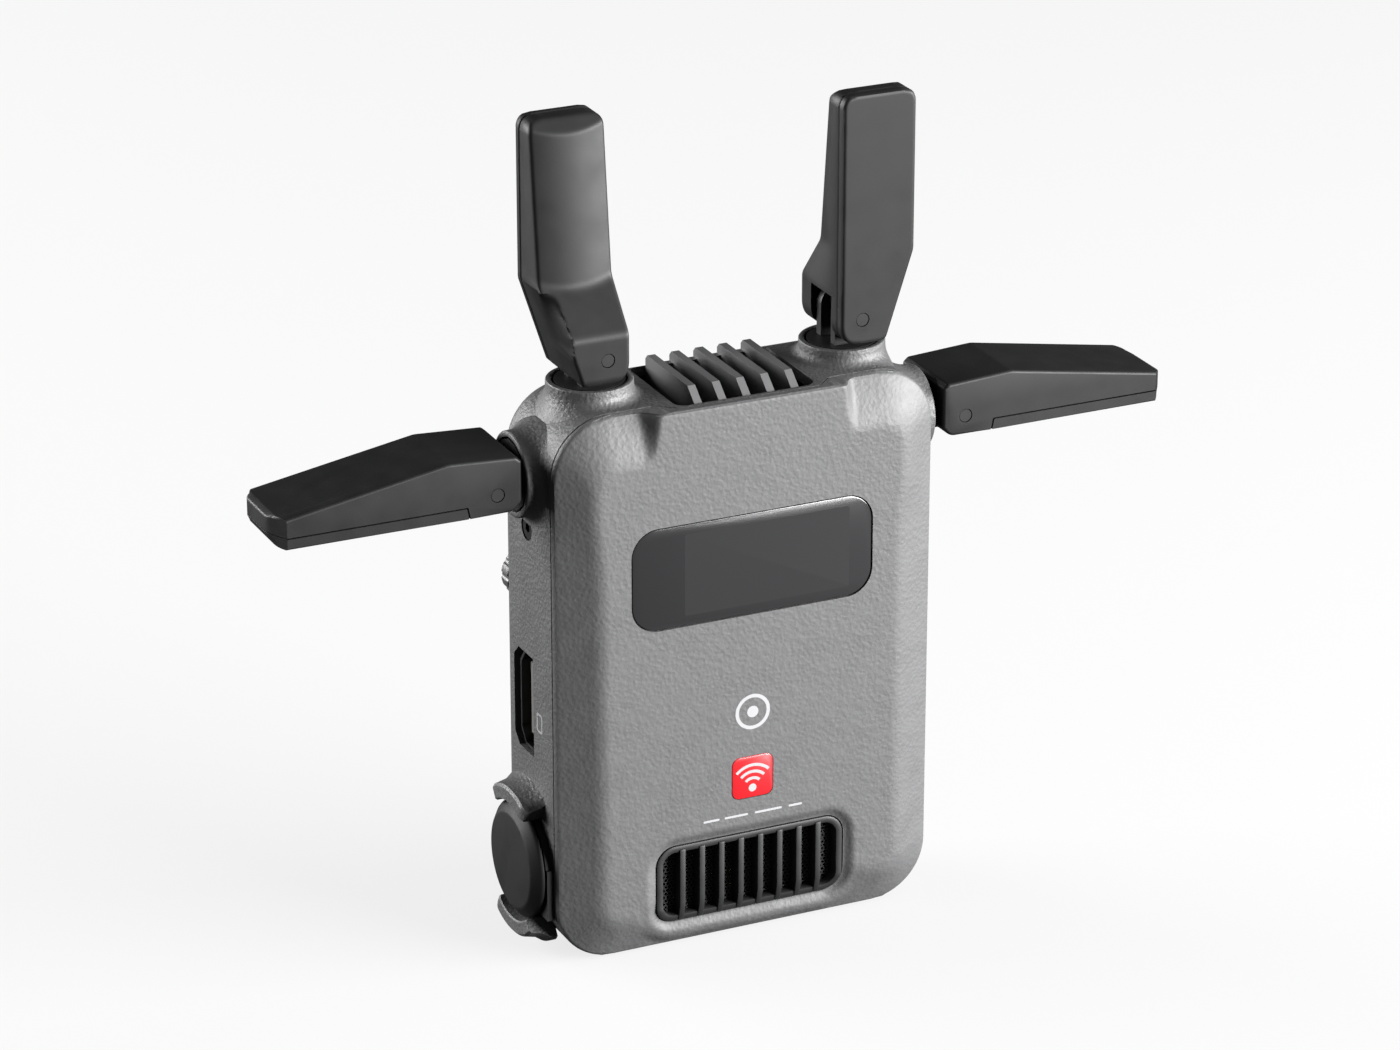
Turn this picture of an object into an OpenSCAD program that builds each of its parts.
// Wireless video receiver with four folding antennas, as separate pieces.
// Millimetres. Z up, front faces -Y. The origin is the mouth of the tripod thread.

/* [Body] */
// Width of the housing
body_w = 60; // [50:0.5:74]
// Height of the housing without collars and fins
body_h = 84.6; // [76:0.1:104]
// Depth of the rear shell from the parting line to the back
shell_depth = 18; // [17:0.1:24]
// How far the front plateau stands ahead of the parting line
cover_rise = 3.7; // [3.2:0.1:4.6]
// Radius of the housing's corners seen from the front
corner_r = 9; // [6.5:0.1:11]
// Wall thickness of the rear shell
wall = 1.6; // [1.3:0.1:1.9]
// Radius of the edge round the back
back_r = 3; // [1.5:0.1:3.5]

/* [Display] */
// Width of the display glass
window_w = 38; // [31:0.5:42]
// Height of the display glass
window_h = 15.5; // [12:0.1:19]
// Corner radius of the display glass
window_r = 4; // [2:0.1:5]

/* [Air intake] */
// Width of the intake grille
vent_w = 30.3; // [25:0.1:34]
// Height of the intake grille
vent_h = 12.5; // [10:0.1:15]
// Number of bars in the grille
vent_bars = 8; // [5:1:10]
// Width of one bar
bar_w = 0.85; // [0.6:0.05:1.2]

/* [Heat sink] */
// Number of fins
fin_count = 5; // [3:1:6]
// Distance from fin to fin
fin_pitch = 3.8; // [3:0.1:4.2]
// Thickness of one fin
fin_t = 1.2; // [0.8:0.1:1.6]
// How far the fins stand above the housing
fin_rise = 1.8; // [1:0.1:2.2]

/* [Antennas] */
// Length of the upright antennas from hinge to tip
top_len = 33.8; // [28:0.1:41]
// Width of the upright antennas
top_w = 11.6; // [10:0.1:14]
// Length of the side antennas from hinge to tip
side_len = 33.4; // [28:0.1:41]
// Half the thickness of every hinge head
head_y = 6.7; // [6.2:0.1:8]
// Outer radius of the collars at their rim
collar_r = 6.3; // [6.2:0.1:7]
// Height of the collars
collar_h = 2.4; // [2:0.1:3]
// Radius of the hinge pins
pin_r = 0.95; // [0.8:0.05:1.1]

/* [Coaxial output] */
// Radius of the rubber cap
cap_r = 8.9; // [8.4:0.1:9.3]
// Thickness of the rubber cap's head
cap_t = 3.2; // [2.5:0.1:4]

/* [Hidden] */
$fn = 48;
run_gap = 0.05;
free_gap = 0.3;
part_y = -8.7;
rear_y = part_y + shell_depth;
front_y = part_y - cover_rise;
in_rear = rear_y - wall;
side_x = body_w / 2;
in_x = side_x - wall;
cover_t = 1.3;
edge_t = 0.9;
plateau_in = 6;
// antenna placing
boss_x = side_x - 10;
rim_z = body_h + collar_h;
hinge_up = 4.7;
hinge_z = rim_z + hinge_up;
side_z = body_h - 10.4;
hinge_x = side_x + collar_h + hinge_up;
swivel_r = 5.15;
swivel_t = 1.1;
recess_d = 1.2;
neck_r = 3;
lug_y0 = 1.6;
lug_y1 = 3;
lug_r = 2.6;
slot_y = lug_y1 + free_gap;
slot_reach = 3;
plate_t = 1.6;
// fins and duct
open_w = fin_pitch * (fin_count - 1) + fin_t + 5.6;
duct_y0 = part_y - 2.2;
duct_wall = 0.7;
duct_y1 = in_rear - 0.6;
duct_drop = 6.5;
fin_y1 = duct_y1 - 0.3;
// display
window_z = body_h - 25.1;
window_deep = 1;
panel_w = window_w - 9.4;
panel_h = window_h - 2.9;
panel_dx = 2.3;
// vent
vent_z = 10.4;
vent_y = front_y + 0.6;
bar_pitch = (vent_w - 2.6) / (vent_bars + 0.8);
// boards and posts
board_y0 = -2.4;
board_y1 = -1.2;
board_z0 = 24;
board_z1 = body_h - 15.6;
post_x = side_x - 5.5;
post_z0 = 27;
post_z1 = body_h - 23.6;
screw_top_x = open_w / 2 + 3.6;
screw_top_z = body_h - 9.6;
screw_low_x = vent_w / 2 + 4.3;
screw_low_z = 8.5;
// heat sink base
base_y0 = 1.4;
base_y1 = 2.6;
base_z0 = 40;
// ports
hdmi_y = 1.6;
hdmi_z = 38;
coax_y = 0.3;
coax_z = 13.5;
well_r = 7.6;
well_d = 5;
usb_z = 38.5;
usb_y = 0.6;
button_z = 50;
button_y = 2;
knob_x = -(side_x - 5.2);
knob_z = body_h - 30.9;
knob_r = 4.2;
fan_y0 = front_y + 3.2;
fan_y1 = board_y0 - 0.7;
fan_z = 23.4;
fan_half = 12.5;
side_screw_z = body_h - 19;
insert_r = 4.5;
insert_h = 8;
thread_r = 3.175;

module cyl_y(r, y0, y1) {
  translate([0, y0, 0]) rotate([-90, 0, 0]) cylinder(r = r, h = y1 - y0);
}

module cyl_x(r, x0, x1) {
  translate([x0, 0, 0]) rotate([0, 90, 0]) cylinder(r = r, h = x1 - x0);
}

// rounded plate lying in XZ, centred on the origin
module plate_y(w, h, r, y0, y1) {
  translate([-w / 2 + r, y0, -h / 2]) cube([w - 2 * r, y1 - y0, h]);
  translate([-w / 2, y0, -h / 2 + r]) cube([w, y1 - y0, h - 2 * r]);
  for (sx = [-1, 1])
    for (sz = [-1, 1])
      translate([sx * (w / 2 - r), 0, sz * (h / 2 - r)]) cyl_y(r, y0, y1);
}

// rounded plate lying in XY, centred on the origin
module plate_z(w, d, r, z0, z1) {
  translate([-w / 2 + r, -d / 2, z0]) cube([w - 2 * r, d, z1 - z0]);
  translate([-w / 2, -d / 2 + r, z0]) cube([w, d - 2 * r, z1 - z0]);
  for (sx = [-1, 1])
    for (sy = [-1, 1])
      translate([sx * (w / 2 - r), sy * (d / 2 - r), z0]) cylinder(r = r, h = z1 - z0);
}

// outline drawn in XZ and pushed along Y
module slab_y(pts, y0, y1) {
  translate([0, y1, 0]) rotate([90, 0, 0]) linear_extrude(y1 - y0) polygon(pts);
}

// outline drawn in YZ and pushed along X
module slab_x(pts, x0, x1) {
  translate([x0, 0, 0]) rotate([90, 0, 90]) linear_extrude(x1 - x0) polygon(pts);
}

// outline drawn in XY and pushed along Z
module slab_z(pts, z0, z1) {
  translate([0, 0, z0]) linear_extrude(z1 - z0) polygon(pts);
}

module body_block(y0, y1, inset) {
  translate([0, 0, body_h / 2])
    plate_y(body_w - 2 * inset, body_h - 2 * inset, corner_r - inset, y0, y1);
}

// block with its two back edges rounded, seen from above
module back_round_z() {
  translate([-side_x - 1, part_y - 1, -1]) cube([body_w + 2, shell_depth + 1 - back_r, body_h + 2]);
  translate([-side_x + back_r, part_y, -1]) cube([body_w - 2 * back_r, shell_depth, body_h + 2]);
  for (sx = [-1, 1])
    translate([sx * (side_x - back_r), rear_y - back_r, -1]) cylinder(r = back_r, h = body_h + 2);
}

// block with its two back edges rounded, seen from the side
module back_round_x() {
  translate([-side_x - 1, part_y - 1, -1]) cube([body_w + 2, shell_depth + 1 - back_r, body_h + 2]);
  translate([-side_x - 1, part_y, back_r]) cube([body_w + 2, shell_depth, body_h - 2 * back_r]);
  for (z = [back_r, body_h - back_r])
    translate([0, rear_y - back_r, z]) cyl_x(back_r, -side_x - 1, side_x + 1);
}

module cap_guard(turn) {
  translate([0, coax_y, coax_z]) rotate([turn, 0, 0]) intersection() {
    difference() {
      cyl_x(11.5, -side_x - 3.2, -side_x + 1.5);
      cyl_x(9.6, -side_x - 4, -side_x + 2);
    }
    slab_x([[0, 0], [-8, 13], [8, 13]], -side_x - 5, -side_x + 3);
  }
}

module collar_at() {
  cylinder(r1 = collar_r + 1.1, r2 = collar_r, h = collar_h);
  translate([0, 0, -corner_r / 2]) cylinder(r = collar_r + 1.1, h = corner_r / 2 + 0.01);
}

module collar_cut() {
  translate([0, 0, collar_h - recess_d]) cylinder(r = swivel_r + free_gap, h = recess_d + 1);
  translate([0, 0, -wall - 1]) cylinder(r = neck_r + run_gap, h = wall + collar_h + 1);
  // flat seat inside for the rim that keeps the swivel base in
  translate([0, 0, -wall - 4]) cylinder(r = neck_r + 0.7 + free_gap, h = 4);
}

module rear_shell() {
  color([0.42, 0.42, 0.43]) difference() {
    union() {
      difference() {
        union() {
          intersection() {
            body_block(part_y, rear_y, 0);
            back_round_z();
            back_round_x();
          }
          for (sx = [-1, 1]) {
            translate([sx * boss_x, 0, body_h - 0.01]) collar_at();
            translate([sx * (side_x - 0.01), 0, side_z]) rotate([0, sx * 90, 0]) collar_at();
          }
        }
        body_block(part_y - 1, in_rear, wall);
      }
      // duct that carries the fins, standing ahead of the parting line at the top
      translate([-open_w / 2 - 1.4, duct_y0 - duct_wall, body_h - duct_drop])
        cube([open_w + 2.8, part_y - duct_y0 + duct_wall + 1, duct_drop]);
      for (sx = [-1, 1]) {
        translate([sx * screw_top_x, 0, screw_top_z]) cyl_y(2.4, part_y, in_rear + 0.1);
        translate([sx * screw_low_x, 0, screw_low_z]) cyl_y(2.4, part_y, in_rear + 0.1);
        translate([sx * post_x, 0, post_z0]) cyl_y(2.2, board_y1, in_rear + 0.1);
        translate([sx * post_x, 0, post_z1]) cyl_y(2.2, board_y1, in_rear + 0.1);
      }
      cap_guard(0);
      cap_guard(180);
      // well round the coaxial jack
      translate([0, coax_y, coax_z]) cyl_x(well_r + 0.8, -side_x + 0.4, -side_x + well_d + 1.4);
      // boss round the tripod insert
      translate([0, 0, 0.4]) cylinder(r = insert_r + 1.6, h = insert_h + 0.6);
    }
    // air outlet
    translate([0, (duct_y0 + duct_y1) / 2, 0])
      plate_z(open_w, duct_y1 - duct_y0, 1.5, body_h - duct_drop - 1, body_h + 1);
    for (sx = [-1, 1]) {
      translate([sx * boss_x, 0, body_h]) collar_cut();
      translate([sx * side_x, 0, side_z]) rotate([0, sx * 90, 0]) collar_cut();
      translate([sx * screw_top_x, 0, screw_top_z]) cyl_y(1.1, part_y - 1, rear_y + 1);
      translate([sx * screw_top_x, 0, screw_top_z]) cyl_y(2.15, rear_y - 1.5, rear_y + 1);
      translate([sx * screw_low_x, 0, screw_low_z]) cyl_y(1.1, part_y - 1, rear_y + 1);
      translate([sx * screw_low_x, 0, screw_low_z]) cyl_y(2.15, rear_y - 1.5, rear_y + 1);
      translate([sx * post_x, 0, post_z0]) cyl_y(0.95, board_y1 - 1, in_rear - 1);
      translate([sx * post_x, 0, post_z1]) cyl_y(0.95, board_y1 - 1, in_rear - 1);
      // recess and hole of the small side screws
      translate([0, 0, side_screw_z]) cyl_x(1, sx > 0 ? in_x - 1 : -side_x - 1, sx > 0 ? side_x + 1 : -in_x + 1);
      translate([0, 0, side_screw_z])
        cyl_x(1.9, sx > 0 ? side_x - 0.9 : -side_x - 1, sx > 0 ? side_x + 1 : -side_x + 0.9);
    }
    // display cable port window for the video socket
    translate([-side_x - 1, hdmi_y - 3.5, hdmi_z - 7.8]) cube([wall + 2, 7, 15.6]);
    // coaxial well and the jack's hole
    translate([0, coax_y, coax_z]) cyl_x(well_r, -side_x - 1, -side_x + well_d);
    translate([0, coax_y, coax_z]) cyl_x(4.8, -side_x, -side_x + well_d + 3);
    // power socket window on the right
    translate([side_x - wall - 1, usb_y - 1.9, usb_z - 3]) cube([wall + 2, 3.8, 6]);
    for (sz = [-1, 1])
      translate([0, usb_y, usb_z + sz * 3]) cyl_x(1.9, side_x - wall - 1, side_x + 1);
    // button and knob holes
    translate([0, button_y, button_z]) cyl_x(2.3, side_x - wall - 1, side_x + 1);
    translate([knob_x, 0, knob_z]) cyl_y(1.8, in_rear - 1, rear_y + 1);
    // seat of the tripod insert
    translate([0, 0, -1]) cylinder(r = insert_r, h = insert_h + 1);
  }
}

module front_cover() {
  color([0.47, 0.47, 0.48]) difference() {
    union() {
      difference() {
        intersection() {
          body_block(front_y, part_y, 0);
          slab_z([[-side_x, part_y], [-side_x, part_y - edge_t], [-side_x + plateau_in, front_y],
                  [side_x - plateau_in, front_y], [side_x, part_y - edge_t], [side_x, part_y]],
                 -1, body_h + 1);
          slab_x([[part_y, 0], [part_y - edge_t, 0], [front_y, plateau_in + 0.4],
                  [front_y, body_h + 1], [part_y, body_h + 1]], -side_x, side_x);
        }
        // hollow behind the plateau
        translate([0, 0, body_h / 2])
          plate_y(body_w - 2 * plateau_in - 2.4, body_h - 2 * plateau_in - 3, 3, front_y + cover_t, part_y + 1);
      }
      for (sx = [-1, 1]) {
        translate([sx * screw_top_x, 0, screw_top_z]) cyl_y(2.3, front_y + 1, part_y);
        translate([sx * screw_low_x, 0, screw_low_z]) cyl_y(2.3, front_y + 1, part_y);
      }
    }
    // both upper corners fall back to the parting line
    for (sx = [-1, 1])
      translate([sx * (open_w / 2 + 2.9 + 15) - 15, 0, 0])
        slab_x([[front_y - 1, body_h - 7.7], [part_y - edge_t, body_h + 0.8], [front_y - 1, body_h + 2]], 0, 30);
    // notch round the fin duct
    translate([-open_w / 2 - 1.45, duct_y0 - duct_wall - run_gap, body_h - duct_drop - run_gap])
      cube([open_w + 2.9, 10, duct_drop + 2]);
    // display seat and the window behind it
    translate([0, 0, window_z])
      plate_y(window_w + 0.3, window_h + 0.3, window_r + 0.15, front_y - 1, front_y + window_deep);
    translate([panel_dx, 0, window_z]) plate_y(panel_w + 0.4, panel_h + 0.4, 0.6, front_y, part_y);
    // intake opening
    translate([0, 0, vent_z]) plate_y(vent_w + 0.2, vent_h + 0.2, 3.2, front_y - 1, part_y + 1);
    // badge seat
    translate([0, 0, badge_z]) plate_y(6.8, 6.8, 1.3, front_y - 1, front_y + 0.5);
    for (sx = [-1, 1]) {
      translate([sx * screw_top_x, 0, screw_top_z]) cyl_y(0.9, front_y + 1.3, part_y + 1);
      translate([sx * screw_low_x, 0, screw_low_z]) cyl_y(0.9, front_y + 1.3, part_y + 1);
    }
  }
}

badge_z = 25.8;

module display_glass() {
  color([0.06, 0.06, 0.07]) translate([0, 0, window_z])
    plate_y(window_w, window_h, window_r, front_y + 0.1, front_y + window_deep);
}

module display_panel() {
  color([0.12, 0.12, 0.13]) translate([panel_dx, 0, window_z])
    plate_y(panel_w, panel_h, 0.5, front_y + window_deep, front_y + window_deep + 1.2);
}

module role_badge() {
  color([0.80, 0.10, 0.10]) translate([0, 0, badge_z]) plate_y(6.6, 6.6, 1.2, front_y - 0.05, front_y + 0.5);
}

module vent_grille() {
  color([0.13, 0.13, 0.14]) union() {
    difference() {
      translate([0, 0, vent_z]) plate_y(vent_w, vent_h, 3.1, vent_y, vent_y + 2);
      translate([0, 0, vent_z]) plate_y(vent_w - 2.6, vent_h - 2.6, 1.8, vent_y - 1, vent_y + 3);
    }
    for (i = [0 : vent_bars - 1])
      translate([(i - (vent_bars - 1) / 2) * bar_pitch - bar_w / 2, 0, 0])
        slab_x([[vent_y + 1.8, vent_z - vent_h / 2 + 1], [vent_y + 0.3, vent_z - vent_h / 2 + 1],
                [vent_y - 0.2, vent_z - vent_h / 2 + 3.4], [vent_y - 0.2, vent_z + vent_h / 2 - 1],
                [vent_y + 1.8, vent_z + vent_h / 2 - 1]], 0, bar_w);
  }
}

module vent_mesh() {
  color([0.05, 0.05, 0.05]) difference() {
    translate([0, 0, vent_z]) plate_y(vent_w, vent_h, 3.1, vent_y + 2, vent_y + 2.4);
    for (r = [-4 : 4])
      for (c = [-10 : 10])
        translate([c * 1.3 + (abs(r) % 2) * 0.65, vent_y + 1.5, vent_z + r * 1.1])
          if (abs(c * 1.3 + (abs(r) % 2) * 0.65) < vent_w / 2 - 1.8 && abs(r * 1.1) < vent_h / 2 - 1.6)
            rotate([-90, 0, 0]) cylinder(r = 0.46, h = 1.5, $fn = 6);
  }
}

module heat_sink() {
  color([0.40, 0.40, 0.41]) union() {
    translate([-fin_pitch * (fin_count - 1) / 2 - fin_t / 2 - 1.2, base_y0, base_z0])
      cube([fin_pitch * (fin_count - 1) + fin_t + 2.4, base_y1 - base_y0, body_h - 8.6 - base_z0]);
    translate([-fin_pitch * (fin_count - 1) / 2, fin_y1 - 1.2, body_h - 5])
      cube([fin_pitch * (fin_count - 1), 1.2, 5.2]);
    for (i = [0 : fin_count - 1])
      translate([(i - (fin_count - 1) / 2) * fin_pitch - fin_t / 2, 0, 0])
        slab_x([[base_y0 + 0.5, base_z0 + 4], [fin_y1 - 0.6, base_z0 + 4], [fin_y1, base_z0 + 5],
                [fin_y1, body_h + fin_rise - 0.7], [fin_y1 - 0.7, body_h + fin_rise],
                [duct_y0 + 3.3, body_h + fin_rise], [duct_y0 + 0.2, body_h - 0.7],
                [duct_y0 + 0.2, body_h - duct_drop + 1.8], [part_y + 0.3, body_h - duct_drop + 0.3],
                [part_y + 0.3, body_h - duct_drop - 1.6],
                [base_y0 + 0.5, body_h - duct_drop - 1.6]], 0, fin_t);
  }
}

module main_board() {
  color([0.06, 0.24, 0.14]) difference() {
    translate([-in_x + 0.5, board_y0, board_z0]) cube([body_w - 2 * wall - 1, board_y1 - board_y0, board_z1 - board_z0]);
    for (sx = [-1, 1])
      for (z = [post_z0, post_z1])
        translate([sx * post_x, 0, z]) cyl_y(1.1, board_y0 - 1, board_y1 + 1);
    // slots that let the fan's air pass to the fins
    for (i = [-1 : 1])
      translate([i * 5 - 1.5, board_y0 - 1, 37]) cube([3, 4, 3.6]);
  }
}

module radio_shields() {
  color([0.72, 0.72, 0.74])
    for (sx = [-1, 1])
      translate([sx * 11, 0, board_z1 - 16])
        difference() {
          plate_y(19, 18, 0.5, board_y0 - 2, board_y0);
          plate_y(18.4, 17.4, 0.3, board_y0 - 1.7, board_y0 + 1);
        }
}

module processor() {
  color([0.10, 0.10, 0.11]) translate([-7, board_y1, 46]) cube([14, 1.5, 14]);
}

module thermal_pad() {
  color([0.55, 0.65, 0.75]) translate([-6.5, board_y1 + 1.5, 46.5]) cube([13, base_y0 - board_y1 - 1.5, 13]);
}

module fan_frame() {
  color([0.10, 0.10, 0.10]) translate([0, 0, fan_z]) difference() {
    plate_y(2 * fan_half, 2 * fan_half, 2, fan_y0, fan_y1);
    cyl_y(8.5, fan_y0 - 1, fan_y0 + 2);
    cyl_y(11.2, fan_y0 + 0.8, fan_y1 - 0.8);
    translate([-9, fan_y0 + 0.8, 3]) cube([18, fan_y1 - fan_y0 - 1.6, 12]);
    cyl_y(0.8, fan_y1 - 1.5, fan_y1 + 1);
  }
}

module fan_rotor() {
  color([0.16, 0.16, 0.17]) translate([0, 0, fan_z]) union() {
    cyl_y(4.6, fan_y0 + 0.9, fan_y1 - 1.3);
    cyl_y(0.8 - run_gap, fan_y1 - 1.4, fan_y1 - 0.1);
    for (i = [0 : 8])
      rotate([0, i * 40, 0])
        translate([4.2, fan_y0 + 1.3, -0.3]) rotate([0, 14, 0]) cube([5.8, fan_y1 - fan_y0 - 2.8, 0.6]);
  }
}

module seal_gasket() {
  color([0.05, 0.05, 0.05]) difference() {
    body_block(part_y, part_y + 0.5, wall + 0.1);
    body_block(part_y - 1, part_y + 2, wall + 0.9);
    translate([-open_w / 2 - 2, part_y - 2, body_h - 10]) cube([open_w + 4, 6, 12]);
  }
}

module video_socket() {
  color([0.70, 0.69, 0.66]) translate([-side_x + 0.6, hdmi_y, hdmi_z]) difference() {
    slab_x([[-2.6, -7.5], [1.1, -7.5], [2.8, -5.4], [2.8, 5.4], [1.1, 7.5], [-2.6, 7.5]], 0, 10.8);
    slab_x([[-2.25, -7.1], [0.9, -7.1], [2.4, -5.2], [2.4, 5.2], [0.9, 7.1], [-2.25, 7.1]], -1, 10);
  }
}

module video_tongue() {
  color([0.07, 0.07, 0.07]) translate([-side_x + 1.4, hdmi_y - 0.35, hdmi_z - 5.6]) cube([9.2, 1.1, 11.2]);
}

module coax_jack() {
  color([0.75, 0.73, 0.68]) translate([0, coax_y, coax_z]) difference() {
    union() {
      cyl_x(4.8, -side_x - 1.6, -side_x + well_d + 2.2);
      for (sy = [-1, 1])
        translate([-side_x, sy * 5, 0]) rotate([0, 0, 0]) translate([-0.9, -0.6, -0.9]) cube([1.8, 1.2, 1.8]);
    }
    cyl_x(4, -side_x - 2, -side_x + well_d + 1);
  }
}

module coax_insulator() {
  color([0.93, 0.92, 0.88]) translate([0, coax_y, coax_z]) difference() {
    cyl_x(4, -side_x + 1, -side_x + well_d + 1);
    cyl_x(0.7, -side_x, -side_x + well_d + 3);
  }
}

module coax_contact() {
  color([0.85, 0.68, 0.30]) translate([0, coax_y, coax_z]) cyl_x(0.7, -side_x - 0.6, -side_x + well_d + 1);
}

module connector_cap() {
  color([0.07, 0.07, 0.07]) translate([0, coax_y, coax_z]) difference() {
    union() {
      cyl_x(cap_r, -side_x - cap_t + 1.3, -side_x - 1.4);
      translate([-side_x - cap_t + 1.31, 0, 0]) rotate([0, -90, 0]) cylinder(r1 = cap_r, r2 = cap_r - 1.5, h = 1.31);
      cyl_x(well_r - free_gap, -side_x - 1.5, -side_x + 2.4);
    }
    cyl_x(6, -side_x - 1.9, -side_x + 3);
  }
}

module cap_tether() {
  color([0.06, 0.06, 0.06]) translate([-side_x, 0, coax_z]) difference() {
    union() {
      translate([0, coax_y, 0]) cyl_x(well_r + 0.9, -1.1, 0);
      translate([-1.1, part_y + 0.2, -6.5]) cube([1.1, coax_y - part_y - 4, 8]);
    }
    translate([0, coax_y, 0]) cyl_x(well_r + 0.02, -2, 1);
  }
}

module power_socket() {
  color([0.70, 0.69, 0.66]) translate([side_x - 9.4, usb_y, usb_z]) difference() {
    union() {
      translate([0, -1.6, -2.9]) cube([8.6, 3.2, 5.8]);
      for (sz = [-1, 1]) translate([0, 0, sz * 2.9]) cyl_x(1.6, 0, 8.6);
    }
    translate([0.6, -1.3, -2.9]) cube([9, 2.6, 5.8]);
    for (sz = [-1, 1]) translate([0, 0, sz * 2.9]) cyl_x(1.3, 0.6, 9.6);
  }
}

module power_tongue() {
  color([0.07, 0.07, 0.07]) translate([side_x - 8.8, usb_y - 0.35, usb_z - 3.3]) cube([6.9, 0.7, 6.6]);
}

module tripod_insert() {
  color([0.72, 0.70, 0.66]) difference() {
    cylinder(r = insert_r, h = insert_h);
    translate([0, 0, -1]) cylinder(r = thread_r, h = insert_h);
  }
}

module cover_screws() {
  color([0.20, 0.20, 0.21])
    for (sx = [-1, 1])
      for (p = [[screw_top_x, screw_top_z], [screw_low_x, screw_low_z]])
        translate([sx * p[0], 0, p[1]]) difference() {
          union() {
            cyl_y(0.9, front_y + 1.8, rear_y - 0.6);
            cyl_y(1.9, rear_y - 1.5, rear_y - 0.2);
          }
          translate([0, rear_y - 1, 0]) rotate([-90, 0, 0]) cylinder(r = 0.8, h = 2, $fn = 6);
        }
}

module board_screws() {
  color([0.66, 0.66, 0.68])
    for (sx = [-1, 1])
      for (z = [post_z0, post_z1])
        translate([sx * post_x, 0, z]) difference() {
          union() {
            cyl_y(1.7, board_y0 - 1.1, board_y0);
            cyl_y(0.95, board_y0 - 0.5, board_y1 + 4.6);
          }
          translate([0, board_y0 - 1.6, 0]) rotate([-90, 0, 0]) cylinder(r = 0.7, h = 1.1, $fn = 6);
        }
}

module side_screws() {
  color([0.24, 0.24, 0.25])
    for (sx = [-1, 1])
      translate([0, 0, side_screw_z]) rotate([0, 0, sx > 0 ? 0 : 180]) difference() {
        union() {
          cyl_x(1.7, side_x - 0.9, side_x - 0.15);
          cyl_x(1, side_x - 3.4, side_x - 0.8);
        }
        translate([side_x - 0.7, 0, 0]) rotate([0, 90, 0]) cylinder(r = 0.75, h = 2, $fn = 6);
      }
}

module encoder_body() {
  color([0.14, 0.14, 0.15]) translate([knob_x, 0, knob_z]) difference() {
    translate([-3.3, board_y1, -3.3]) cube([6.6, 4.8, 6.6]);
    cyl_y(0.9 + run_gap, board_y1 + 1.9, 5);
  }
}

module encoder_plunger() {
  color([0.70, 0.70, 0.72]) translate([knob_x, 0, knob_z]) union() {
    cyl_y(0.9, board_y1 + 2.3, 8.6);
    cyl_y(1.5, 4, 4.4);
  }
}

module encoder_shaft() {
  color([0.62, 0.62, 0.64]) translate([knob_x, 0, knob_z]) difference() {
    cyl_y(1.5, 4.5, rear_y + 1.6);
    cyl_y(0.9 + run_gap, 4, 9);
  }
}

module control_knob() {
  color([0.33, 0.33, 0.34]) translate([knob_x, 0, knob_z]) difference() {
    union() {
      cyl_y(knob_r, rear_y + 0.6, rear_y + 2.8);
      translate([0, rear_y + 2.79, 0]) rotate([-90, 0, 0]) cylinder(r1 = knob_r, r2 = knob_r - 0.6, h = 0.5);
    }
    cyl_y(1.5, rear_y, rear_y + 1.6);
    for (i = [0 : 11])
      rotate([0, i * 30, 0]) translate([knob_r + 0.35, 0, 0]) cyl_y(0.6, rear_y, rear_y + 4);
  }
}

module power_button() {
  color([0.30, 0.30, 0.31]) translate([0, button_y, button_z]) union() {
    cyl_x(2, side_x - wall - 0.2, side_x + 0.4);
    cyl_x(2.9, side_x - wall - 1, side_x - wall - 0.1);
  }
}

module power_switch() {
  color([0.16, 0.16, 0.17]) translate([side_x - wall - 4, board_y1, button_z - 2]) cube([2.5, 2 * (button_y - board_y1), 4]);
}

// base that swivels in its collar; origin on the hinge axis, collar below
module swivel_base() {
  difference() {
    union() {
      translate([0, 0, -hinge_up - swivel_t - run_gap]) cylinder(r = swivel_r, h = swivel_t);
      translate([0, 0, -hinge_up - collar_h - wall - 0.9])
        cylinder(r = neck_r, h = collar_h + wall + 0.9 - swivel_t);
      translate([0, 0, -hinge_up - collar_h - wall - 0.9]) cylinder(r = neck_r + 0.7, h = 0.8);
      for (s = [-1, 1])
        translate([0, s * (lug_y0 + lug_y1) / 2, 0]) intersection() {
          union() {
            cyl_y(lug_r, -0.7, 0.7);
            translate([-lug_r, -0.7, -hinge_up - 0.2]) cube([2 * lug_r, 1.4, hinge_up + 0.2]);
          }
          translate([-lug_r - 1, -0.7, -hinge_up - 1]) cube([2 * lug_r + 2, 1.4, hinge_up + lug_r + 2]);
        }
    }
    cyl_y(pin_r + run_gap, -5, 5);
    translate([0, 0, -hinge_up - 6]) cylinder(r = 1.1, h = 8);
  }
}

module hinge_pin() {
  cyl_y(pin_r, -head_y + 0.1, head_y - 0.1);
}

function top_outline() = [[-3.4, -1.8], [-2.7, -3], [-0.8, -3.8], [3, -3.8], [4.1, -2.9],
  [top_w - 3.4, 9.6], [top_w - 3.4, top_len - 1.2], [top_w - 4.6, top_len],
  [-2.2, top_len], [-3.4, top_len - 1.2]];

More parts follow.
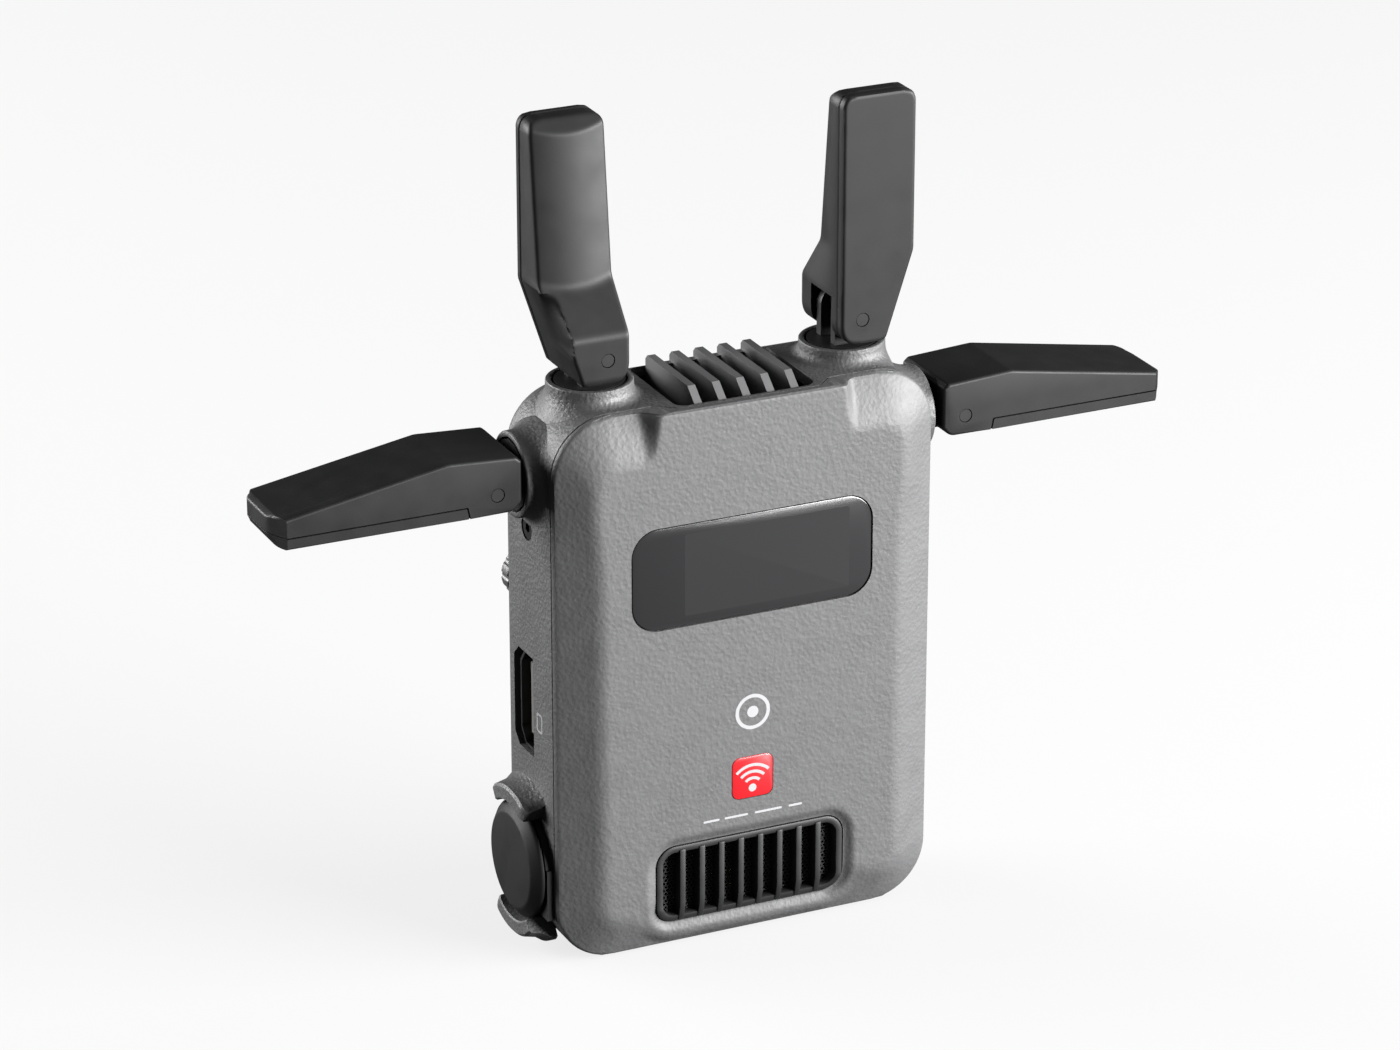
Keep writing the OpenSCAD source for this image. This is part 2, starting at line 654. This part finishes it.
// upright antenna: its cover faces -Y and the clevis opens towards -X
module top_shell() {
  difference() {
    intersection() {
      slab_y(top_outline(), -head_y + plate_t, head_y);
      slab_x([[-head_y + plate_t, -4], [head_y - 0.6, -4], [head_y, -3.4], [head_y, 3.6], [1.6, 9.6],
              [-0.8, top_len - 2.2], [-2.4, top_len], [-head_y + plate_t, top_len]], -5, top_w);
    }
    translate([-6, -slot_y, -6]) cube([6 + slot_reach, 2 * slot_y, 6 + slot_reach]);
    cyl_y(pin_r, -head_y - 1, head_y + 1);
    translate([-2.2, -head_y + plate_t - 1, 11]) cube([top_w - 2.4, 2.4, top_len - 13]);
  }
}

module top_cover() {
  difference() {
    slab_y(top_outline(), -head_y, -head_y + plate_t);
    cyl_y(pin_r, -head_y - 1, head_y + 1);
  }
}

module top_radiator() {
  translate([-1.9, -head_y + plate_t + 0.1, 11.5]) cube([top_w - 3, 1, top_len - 14]);
}

// side antenna: reaches along +X, its cover is the underside
module side_shell() {
  difference() {
    intersection() {
      slab_y([[-3.7, -1.5], [-2.5, -2.9], [4.2, -2.9], [4.6, -1.2], [side_len, -1.2], [side_len, 1.2],
              [side_len - 1, 1.7], [7.4, 5.9], [-2.9, 5.3], [-3.7, 4.6]], -head_y, head_y);
      slab_z([[-4, -head_y], [side_len - 1.6, -head_y], [side_len, -head_y + 2], [side_len, head_y - 4],
              [side_len - 1.8, head_y], [-4, head_y]], -4, 7);
    }
    translate([-6, -slot_y, -6]) cube([6 + slot_reach, 2 * slot_y, 6 + slot_reach]);
    cyl_y(pin_r, -head_y - 1, head_y + 1);
    translate([9, -5, -2]) cube([side_len - 12, 10, 2.4]);
  }
}

module side_cover() {
  intersection() {
    slab_y([[4.25, -2.9], [side_len - 0.9, -2.9], [side_len, -1.2], [4.6, -1.2]], -head_y, head_y);
    slab_z([[-4, -head_y], [side_len - 1.6, -head_y], [side_len, -head_y + 2], [side_len, head_y - 4],
            [side_len - 1.8, head_y], [-4, head_y]], -4, 7);
  }
}

module side_radiator() {
  translate([9.5, -4.6, -1.1]) cube([side_len - 13, 9.2, 1]);
}

module at_top(s) {
  translate([s * boss_x, 0, hinge_z]) rotate([0, 0, s > 0 ? 0 : 180]) children();
}

module at_side(s) {
  rotate([0, 0, s > 0 ? 0 : 180]) translate([hinge_x, 0, side_z]) children();
}

module base_top(s) {
  color([0.12, 0.12, 0.13]) at_top(s) swivel_base();
}

module base_side(s) {
  color([0.12, 0.12, 0.13]) at_side(s) rotate([0, 90, 0]) swivel_base();
}

module antenna_leads() {
  color([0.15, 0.15, 0.16])
    for (sx = [-1, 1]) {
      translate([sx * (boss_x - 5.4), board_y0 - 0.6, board_z1 - 5]) rotate([0, 0, 0]) cylinder(r = 0.5, h = 8);
      translate([sx * (side_x - 9.5), board_y0 - 0.6, board_z1 - 5]) cylinder(r = 0.5, h = 7);
    }
}

rear_shell();
front_cover();
display_glass();
display_panel();
role_badge();
vent_grille();
vent_mesh();
heat_sink();
main_board();
radio_shields();
processor();
thermal_pad();
fan_frame();
fan_rotor();
seal_gasket();
video_socket();
video_tongue();
coax_jack();
coax_insulator();
coax_contact();
connector_cap();
cap_tether();
power_socket();
power_tongue();
tripod_insert();
cover_screws();
board_screws();
side_screws();
encoder_body();
encoder_plunger();
encoder_shaft();
control_knob();
power_button();
power_switch();
antenna_leads();
base_top(-1);  // tl_base
color([0.2, 0.2, 0.21]) at_top(-1) hinge_pin();  // tl_pin
color([0.15, 0.15, 0.16]) at_top(-1) top_shell();  // tl_shell
color([0.17, 0.17, 0.18]) at_top(-1) top_cover();  // tl_cover
color([0.7, 0.45, 0.2]) at_top(-1) top_radiator();  // tl_radiator
base_top(1);  // tr_base
color([0.2, 0.2, 0.21]) at_top(1) hinge_pin();  // tr_pin
color([0.15, 0.15, 0.16]) at_top(1) top_shell();  // tr_shell
color([0.17, 0.17, 0.18]) at_top(1) top_cover();  // tr_cover
color([0.7, 0.45, 0.2]) at_top(1) top_radiator();  // tr_radiator
base_side(-1);  // sl_base
color([0.2, 0.2, 0.21]) at_side(-1) hinge_pin();  // sl_pin
color([0.15, 0.15, 0.16]) at_side(-1) side_shell();  // sl_shell
color([0.17, 0.17, 0.18]) at_side(-1) side_cover();  // sl_cover
color([0.7, 0.45, 0.2]) at_side(-1) side_radiator();  // sl_radiator
base_side(1);  // sr_base
color([0.2, 0.2, 0.21]) at_side(1) hinge_pin();  // sr_pin
color([0.15, 0.15, 0.16]) at_side(1) side_shell();  // sr_shell
color([0.17, 0.17, 0.18]) at_side(1) side_cover();  // sr_cover
color([0.7, 0.45, 0.2]) at_side(1) side_radiator();  // sr_radiator
